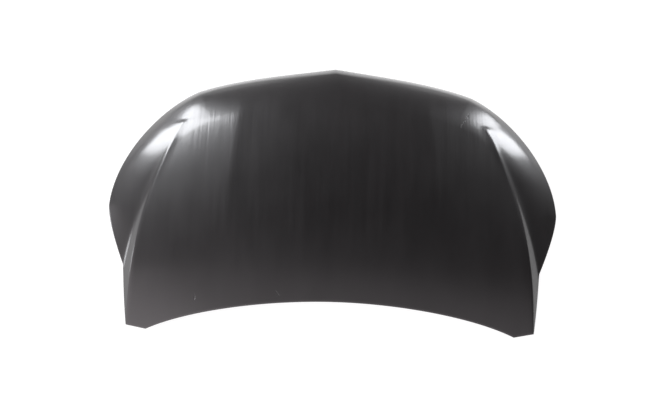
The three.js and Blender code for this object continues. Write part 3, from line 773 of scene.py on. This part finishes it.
@dataclass(frozen=True)
class Scratch:
    """A scored line in the film between two plan points."""

    start: Plan
    end: Plan
    width: float = 0.0022
    waver: float = 0.006
    wander: Pattern = Pattern(90.0, 3.0)
    wander_span: Span = (0.2, 0.8)
    full_share: float = 0.8

    def groove(self, shading: Shading) -> Socket:
        """Draws the line as a height.

        Args:
            shading: Adds nodes to the finish.

        Returns:
            1 along the line, fading to 0 at its sides and its ends.
        """
        start, end = Vector((*self.start, 0)), Vector((*self.end, 0))
        way = end - start
        half = way.length / 2
        way.normalize()
        beside = Vector((-way.y, way.x, 0))
        wander = shading.noise(self.wander)
        wander = shading.ranged(wander, -self.waver, self.waver, self.wander_span)
        off = shading.math("ABSOLUTE", shading.math("ADD", shading.past(start, beside), wander))
        line = shading.ranged(off, 1.0, 0.0, (0.0, self.width))
        along = shading.math("SUBTRACT", shading.past(start, way), half)
        along = shading.math("ABSOLUTE", along)
        ends = shading.ranged(along, 1.0, 0.0, (half * self.full_share, half))
        return shading.math("MULTIPLY", line, ends)


@dataclass(frozen=True)
class Primer:
    """Baked electrocoat primer: a thin satin black film over pressed steel.

    Lengths are metres and places are in the bonnet's own frame. A rub is a patch where handling
    has drawn fine streaks along the car; its reach is where it is full and where it has faded.
    """

    name: str
    colour: Triple
    roughness: float
    sheen: float = 1.0
    coat_roughness: float = 0.16
    ior: float = 1.5
    peel_strength: float = 0.35
    peel_depth: float = 0.00002
    haze: float = 0.022
    grain_haze: float = 0.03
    dust_gain: float = 1.35
    dust_lift: float = 0.002
    dust_span: Span = (0.35, 0.75)
    streak_depth: float = 0.000012
    scratches: tuple[Scratch, ...] = ()
    scratch_depth: float = 0.0009
    rubs: tuple[Triple, ...] = ()
    rub_reach: Span = (0.06, 0.2)
    rub_depth: float = 0.00028
    streaks: Pattern = Pattern(1.0, 3.0, (55.0, 3.0, 8.0))
    clouds: Pattern = Pattern(7.0, 4.0)
    grain: Pattern = Pattern(900.0, 2.0)
    dust: Pattern = Pattern(5.0, 5.0, (3.0, 1.0, 1.0))
    peel: Pattern = Pattern(260.0, 3.0)
    fine_peel: Pattern = Pattern(1600.0, 2.0)
    drawn: Pattern = Pattern(1.0, 4.0, (70.0, 2.5, 6.0))
    rubbed: Pattern = Pattern(1.0, 3.0, (130.0, 3.0, 6.0))

    def _haze(self, shading: Shading) -> Socket:
        """Varies the roughness.

        Args:
            shading: Adds nodes to the finish.

        Returns:
            The roughness.
        """
        streaks = shading.ranged(shading.noise(self.streaks), -self.haze, self.haze, NOISE_SPAN)
        clouds = shading.ranged(shading.noise(self.clouds), -self.haze, self.haze, NOISE_SPAN)
        grain = shading.noise(self.grain)
        grain = shading.ranged(grain, -self.grain_haze, self.grain_haze, NOISE_SPAN)
        total = shading.math("ADD", shading.math("ADD", streaks, clouds), grain)
        return shading.math("ADD", total, self.roughness)

    def _rub(self, shading: Shading, centre: Triple) -> Socket:
        """Draws one rubbed patch as a height.

        Args:
            shading: Adds nodes to the finish.
            centre: The patch's centre.

        Returns:
            The streaks' height, fading to 0 round the patch.
        """
        away = shading.against("DISTANCE", Vector(centre))
        patch = shading.ranged(away, 1.0, 0.0, self.rub_reach)
        return shading.math("MULTIPLY", shading.noise(self.rubbed), patch)

    def _relief(self, shading: Shading) -> Socket:
        """Lays the film's peel, then its streaks, rubs and scratches over that.

        Args:
            shading: Adds nodes to the finish.

        Returns:
            The normal.
        """
        peel = shading.math("ADD", shading.noise(self.peel), shading.noise(self.fine_peel))
        film = shading.bump(peel, self.peel_depth)
        film.inputs["Strength"].default_value = self.peel_strength
        normal = film.outputs["Normal"]
        layers = [(shading.noise(self.drawn), self.streak_depth, False)]
        layers += [(self._rub(shading, centre), self.rub_depth, False) for centre in self.rubs]
        layers += [(line.groove(shading), self.scratch_depth, True) for line in self.scratches]
        for height, depth, sunk in layers:
            layer = shading.bump(height, depth, normal)
            layer.invert = sunk
            normal = layer.outputs["Normal"]
        return normal

    def build(self) -> bpy.types.Material:
        """Makes the material.

        Returns:
            The node-based material.
        """
        material, shader, shading = new_material(self.name)
        shader.inputs["IOR"].default_value = self.ior
        shader.inputs["Metallic"].default_value = 0.0
        shader.inputs["Coat Weight"].default_value = self.sheen
        shader.inputs["Coat Roughness"].default_value = self.coat_roughness
        dusty = tuple(min(1.0, c * self.dust_gain + self.dust_lift) for c in self.colour)
        share = shading.ranged(shading.noise(self.dust), 0.0, 1.0, self.dust_span)
        colour = shading.tint(share, self.colour, dusty)
        shading.fill(shader, {"Roughness": self._haze(shading), "Base Color": colour})
        normal = self._relief(shading)
        shading.fill(shader, {"Normal": normal, "Coat Normal": normal})
        return material


@dataclass(frozen=True)
class PlainFinish:
    """Zinc plate or mastic: one colour broken up by fine noise."""

    name: str
    colour: Triple
    roughness: float
    metallic: float
    depth: float
    unevenness: float = 0.12
    shade: float = 0.82
    grain: Pattern = Pattern(120.0, 5.0)

    def build(self) -> bpy.types.Material:
        """Makes the material.

        Returns:
            The node-based material.
        """
        material, shader, shading = new_material(self.name)
        shader.inputs["Metallic"].default_value = self.metallic
        grain = shading.noise(self.grain)
        low, high = self.roughness - self.unevenness, self.roughness + self.unevenness
        roughness = shading.ranged(grain, low, high, (0.0, 1.0))
        colour = shading.tint(grain, tuple(c * self.shade for c in self.colour), self.colour)
        normal = shading.bump(grain, self.depth).outputs["Normal"]
        shading.fill(shader, {"Roughness": roughness, "Base Color": colour, "Normal": normal})
        return material


@dataclass
class OuterSkin:
    """The outer panel as one smooth sheet whose edge is folded right round under itself.

    The grid is the pressed face. Rings extruded from its edge turn down and inwards as the hem.
    """

    form: BonnetForm
    grid: PlanGrid
    drop: float
    thickness: float = 0.8
    hem_height: float = 3.5
    hem_return: float = 9.0
    fold_steps: int = 6
    fold_in: float = 2.0
    return_spread: int = 2
    crease_angle: float = 50.0

    def _lift(self, plan: np.ndarray, rimmed: bool = False) -> np.ndarray:
        """Lifts plan points onto the skin, whose pressed face alone is rimmed at the front."""
        heights = self.form.height(plan[:, 0], plan[:, 1], rimmed=rimmed) - self.drop
        return np.concatenate([plan, heights[:, None]], 1)

    @staticmethod
    def _outward(rim: np.ndarray) -> np.ndarray:
        """Finds which way the outline faces at each of its points.

        Args:
            rim: The outline's plan points, in order.

        Returns:
            One unit direction for each point.
        """
        ahead, behind = np.roll(rim, -1, 0), np.roll(rim, 1, 0)
        outward = sum(
            np.stack([side[:, 1], -side[:, 0]], -1) / np.linalg.norm(side, axis=1, keepdims=True)
            for side in (rim - behind, ahead - rim)
        )
        return outward / np.linalg.norm(outward, axis=1, keepdims=True)

    def _hem(self, rim: np.ndarray) -> list[np.ndarray]:
        """Rolls the hem under the skin.

        Args:
            rim: The outline's plan points, in order.

        Returns:
            The hem's rings, from the edge inwards, in millimetres.
        """
        outward = self._outward(rim)
        inner = rim - self.fold_in * outward
        normal = self.form.normal(inner[:, 0], inner[:, 1])
        tangent = np.concatenate([outward, np.zeros((len(rim), 1))], 1)
        tangent -= normal * (tangent * normal).sum(1, keepdims=True)
        tangent /= np.linalg.norm(tangent, axis=1, keepdims=True)
        top = self._lift(rim)
        radius = self.hem_height / 2
        rings = []
        for step in range(1, self.fold_steps + 1):
            angle = math.pi * step / self.fold_steps
            under = top - normal * (radius - radius * math.cos(angle))
            rings.append(under + tangent * radius * math.sin(angle))
        reach = self.hem_return * np.hypot(tangent[:, 0], tangent[:, 1])[:, None]
        end = self._lift(rim - reach * outward)
        # Where the skin over the hem's end bends, the end stays under its lowest neighbour.
        rise, spread = end[:, 2] - top[:, 2], self.return_spread
        rise = np.minimum(np.minimum(np.roll(rise, spread), rise), np.roll(rise, -spread))
        end[:, 2] = top[:, 2] + rise
        rings.append(end - normal * self.hem_height)
        return rings

    def build(self) -> bpy.types.Object:
        """Models the skin.

        Returns:
            The piece.
        """
        points = self.grid.points()
        rows, columns = points.shape[:2]
        bpy.ops.object.select_all(action="DESELECT")
        bpy.ops.mesh.primitive_grid_add(x_subdivisions=columns - 1, y_subdivisions=rows - 1, size=2)
        piece = bpy.context.object
        piece.name = piece.data.name = "outer_skin"
        mesh = piece.data
        flat = np.empty(len(mesh.vertices) * 3)
        mesh.vertices.foreach_get("co", flat)
        flat = flat.reshape(-1, 3)
        column = np.rint((flat[:, 0] + 1) / 2 * (columns - 1)).astype(int)
        row = np.rint((flat[:, 1] + 1) / 2 * (rows - 1)).astype(int)
        face = self._lift(points[row, column], rimmed=True) * MM
        mesh.vertices.foreach_set("co", face.ravel())
        mesh.update()

        order = [(0, c) for c in range(columns)] + [(r, columns - 1) for r in range(1, rows)]
        order += [(rows - 1, c) for c in range(columns - 2, -1, -1)]
        order += [(r, 0) for r in range(rows - 2, 0, -1)]
        where = {key: n for n, key in enumerate(zip(row.tolist(), column.tolist()))}
        loop = [where[key] for key in order]
        for ring in self._hem(np.array([points[r, c] for r, c in order])):
            self._extrude(piece, loop, ring * MM)
        for polygon in mesh.polygons:
            polygon.use_smooth = True
        sheet = piece.modifiers.new("sheet", "SOLIDIFY")
        sheet.thickness = self.thickness * MM
        sheet.offset = -1.0
        sheet.use_even_offset = False
        bpy.ops.object.modifier_apply(modifier=sheet.name)
        bpy.ops.object.shade_smooth_by_angle(angle=math.radians(self.crease_angle))
        return piece

    @staticmethod
    def _extrude(piece: bpy.types.Object, loop: list[int], places: np.ndarray) -> None:
        """Extrudes a closed loop of vertices once and puts the new loop at its places.

        Args:
            piece: The active mesh object.
            loop: Indices of the loop, in order; replaced by the new loop's.
            places: One place for each vertex of the loop, in metres.
        """
        mesh = piece.data
        count = len(mesh.vertices)
        chosen = set(loop)
        for vertex in mesh.vertices:
            vertex.select = vertex.index in chosen
        following = {frozenset(pair) for pair in zip(loop, loop[1:] + loop[:1])}
        for edge in mesh.edges:
            edge.select = frozenset(edge.vertices) in following
        for polygon in mesh.polygons:
            polygon.select = False
        bpy.ops.object.mode_set(mode="EDIT")
        bpy.ops.mesh.select_mode(type="EDGE")
        bpy.ops.mesh.extrude_edges_move()
        bpy.ops.object.mode_set(mode="OBJECT")
        mesh = piece.data
        partner = {}
        for edge in mesh.edges:
            a, b = edge.vertices
            if a in chosen and b >= count:
                partner[a] = b
            elif b in chosen and a >= count:
                partner[b] = a
        loop[:] = [partner[k] for k in loop]
        for k, place in zip(loop, places):
            mesh.vertices[k].co = place


def heading(azimuth: float, elevation: float = 0.0) -> Vector:
    """Turns two angles into a direction.

    Args:
        azimuth: Degrees from the nose's heading towards the car's right.
        elevation: Degrees above the floor.

    Returns:
        The unit direction.
    """
    turn, lift = math.radians(azimuth), math.radians(elevation)
    level = math.cos(lift)
    return Vector((math.sin(turn) * level, math.cos(turn) * level, math.sin(lift)))


@dataclass(frozen=True)
class Softbox:
    """A rectangular studio lamp that fills a window of the sky, in degrees, seen from its aim."""

    name: str
    azimuths: Span
    elevations: Span
    radiance: float
    aim: Triple
    distance: float = 3.0

    def build(self) -> bpy.types.Object:
        """Hangs the lamp.

        Returns:
            The lamp.
        """
        across = math.radians(self.azimuths[1] - self.azimuths[0])
        upward = math.radians(self.elevations[1] - self.elevations[0])
        middle = heading(sum(self.azimuths) / 2, sum(self.elevations) / 2)
        data = bpy.data.lights.new(self.name, "AREA")
        data.shape = "RECTANGLE"
        data.size = 2 * self.distance * math.tan(across / 2)
        data.size_y = 2 * self.distance * math.tan(upward / 2)
        data.energy = LAMP_POWER * data.size * data.size_y * self.radiance
        data.color = LAMP_TINT
        lamp = bpy.data.objects.new(self.name, data)
        bpy.context.collection.objects.link(lamp)
        lamp.location = Vector(self.aim) + middle * self.distance
        lamp.rotation_euler = (-middle).to_track_quat("-Z", "Y").to_euler()
        return lamp


@dataclass(frozen=True)
class Glow:
    """A side of the room that brightens towards one heading.

    start and full are the cosines off that heading at which it begins and has its strength.
    """

    azimuth: float
    start: float
    full: float
    strength: float


@dataclass(frozen=True)
class Viewpoint:
    """The photograph's camera: its place, and its image in the photograph's pixels."""

    target: Triple = (0.0, -0.0225, 0.06)
    elevation: float = 72.0
    distance: float = 4.0
    roll: float = 1.4
    image_width: float = 669.0
    image_middle: Span = (334.0, 204.0)
    target_seen: Span = (332.3, 200.0)
    focal_length: float = 1244.6
    sensor: float = 36.0
    clip_end: float = 100.0

    def build(self) -> bpy.types.Object:
        """Places the camera.

        Returns:
            The camera.
        """
        lift = math.radians(self.elevation)
        away = Vector((0.0, -math.cos(lift), math.sin(lift)))
        data = bpy.data.cameras.new("camera")
        camera = bpy.data.objects.new("camera", data)
        bpy.context.collection.objects.link(camera)
        camera.location = Vector(self.target) + away * self.distance
        turn = (-away).to_track_quat("-Z", "Y").to_matrix().to_4x4()
        roll = Matrix.Rotation(math.radians(self.roll), 4, "Z")
        camera.matrix_world = Matrix.Translation(camera.location) @ turn @ roll
        data.sensor_fit = "HORIZONTAL"
        data.sensor_width = self.sensor
        data.lens = self.focal_length / self.image_width * self.sensor
        data.shift_x = (self.image_middle[0] - self.target_seen[0]) / self.image_width
        data.shift_y = -(self.image_middle[1] - self.target_seen[1]) / self.image_width
        data.clip_end = self.clip_end
        bpy.context.scene.camera = camera
        return camera


@dataclass
class Studio:
    """A pale floor, softboxes, a room that is brighter behind and to the left, and the camera."""

    softboxes: tuple[Softbox, ...]
    glows: tuple[Glow, ...]
    overhead: float
    viewpoint: Viewpoint = Viewpoint()
    floor_size: float = 40.0
    floor_colour: float = 0.3
    floor_glow: float = 0.85

    def floor(self) -> bpy.types.Object:
        """Lays the floor, which is white to the camera and keeps the bonnet's shadow.

        Returns:
            The floor.
        """
        bpy.ops.object.select_all(action="DESELECT")
        bpy.ops.mesh.primitive_plane_add(size=self.floor_size, location=(0, 0, 0))
        floor = bpy.context.object
        floor.name = "floor"
        material = bpy.data.materials.new("floor")
        material.use_nodes = True
        tree = material.node_tree
        tree.nodes.clear()
        shading = Shading(tree)
        diffuse = shading.add("BsdfDiffuse", {"Color": (*[self.floor_colour] * 3, 1)})
        path = shading.add("LightPath", {})
        seen = path.outputs["Is Camera Ray"]
        for ray in ("Is Glossy Ray", "Is Transmission Ray"):
            seen = shading.math("MAXIMUM", seen, path.outputs[ray])
        strength = shading.math("MULTIPLY", seen, self.floor_glow)
        glow = shading.add("Emission", {"Strength": strength})
        both = shading.add("AddShader", {0: diffuse.outputs["BSDF"], 1: glow.outputs["Emission"]})
        shading.add("OutputMaterial", {"Surface": both.outputs["Shader"]})
        floor.data.materials.append(material)
        return floor

    def world(self) -> None:
        """Sets the room: a dim ceiling, and walls that brighten towards each glow's heading."""
        world = bpy.data.worlds.new("studio")
        bpy.context.scene.world = world
        world.use_nodes = True
        tree = world.node_tree
        shading = Shading(tree, tree.nodes.new("ShaderNodeTexCoord").outputs["Generated"])
        total = self.overhead
        for glow in self.glows:
            towards = shading.against("DOT_PRODUCT", heading(glow.azimuth))
            wall = shading.ranged(towards, 0.0, glow.strength, (glow.start, glow.full))
            total = shading.math("ADD", wall, total)
        shading.fill(tree.nodes["Background"], {"Color": (*ROOM_TINT, 1.0), "Strength": total})

    def build(self) -> None:
        """Sets up the whole studio."""
        bpy.context.scene.view_settings.view_transform = "Standard"
        self.viewpoint.build()
        self.floor()
        self.world()
        for softbox in self.softboxes:
            softbox.build()


def photo_studio() -> Studio:
    """Sets the lamps and walls that the photograph's reflections show.

    Returns:
        The studio.
    """
    return Studio(
        softboxes=(
            Softbox("left_front", (-55.0, -31.5), (12.0, 44.0), 12.0, (-0.48, 0.22, 0.07)),
            Softbox("right_front", (34.0, 52.0), (4.0, 26.0), 10.5, (0.5, 0.22, 0.06)),
            Softbox("left_low", (-84.0, -75.0), (1.0, 18.0), 6.0, (-0.65, -0.15, 0.02)),
        ),
        glows=(
            Glow(-176.0, 0.0, 0.1, 0.44),
            Glow(-176.0, 0.12, 0.28, 0.42),
            Glow(-136.0, 0.37, 0.54, 0.85),
            Glow(-90.0, 0.3, 0.7, 0.14),
            Glow(-90.0, 0.0, 0.3, 0.04),
            Glow(0.0, 0.22, 0.66, 0.18),
            Glow(90.0, 0.3, 0.7, 0.045),
        ),
        overhead=0.004,
    )


def finishes() -> dict[Slot, bpy.types.Material]:
    """Makes the finishes.

    Returns:
        One material for each slot.
    """
    outer = Primer(
        "outer_primer",
        (0.0075, 0.007, 0.0072),
        roughness=0.38,
        scratches=(
            Scratch((0.442, 0.287), (0.431, 0.264)),
            Scratch((0.431, 0.264), (0.408, 0.228)),
            Scratch((-0.427, -0.343), (-0.417, -0.368), width=0.0016),
            Scratch((-0.17, -0.335), (-0.163, -0.354), width=0.0016),
        ),
        rubs=((0.4, 0.19, 0.1), (-0.4, 0.19, 0.1)),
    )
    inner = Primer("inner_primer", (0.014, 0.0135, 0.014), roughness=0.5, sheen=0.4)
    zinc = PlainFinish("zinc", (0.55, 0.56, 0.55), roughness=0.38, metallic=1.0, depth=0.00002)
    mastic = PlainFinish("mastic", (0.2, 0.19, 0.17), roughness=0.85, metallic=0.0, depth=0.0002)
    return {
        Slot.OUTER: outer.build(),
        Slot.INNER: inner.build(),
        Slot.ZINC: zinc.build(),
        Slot.MASTIC: mastic.build(),
    }


def dress_nodes(materials: dict[Slot, bpy.types.Material]) -> None:
    """Gives every CAD node its slot's finish.

    Args:
        materials: The finishes by slot.
    """
    slots = {row["node"]: row["material_slot"] for row in frame["record"]["subparts"]}
    for name, node in frame["nodes"].items():
        node.data.materials.clear()
        node.data.materials.append(materials[Slot(slots[name])])


def main() -> None:
    """Builds the dressed bonnet in order."""
    logging.basicConfig(level=logging.INFO)
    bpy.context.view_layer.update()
    photo_studio().build()
    log.info("studio")
    materials = finishes()
    dress_nodes(materials)
    log.info("CAD nodes dressed")
    form = BonnetForm()
    skin = OuterSkin(form, PlanGrid(form), drop=GROUND_DROP).build()
    skin.data.materials.clear()
    skin.data.materials.append(materials[Slot.OUTER])
    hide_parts("outer_panel")
    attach(skin, "root")
    log.info("outer skin")


if __name__ == "__main__":
    main()
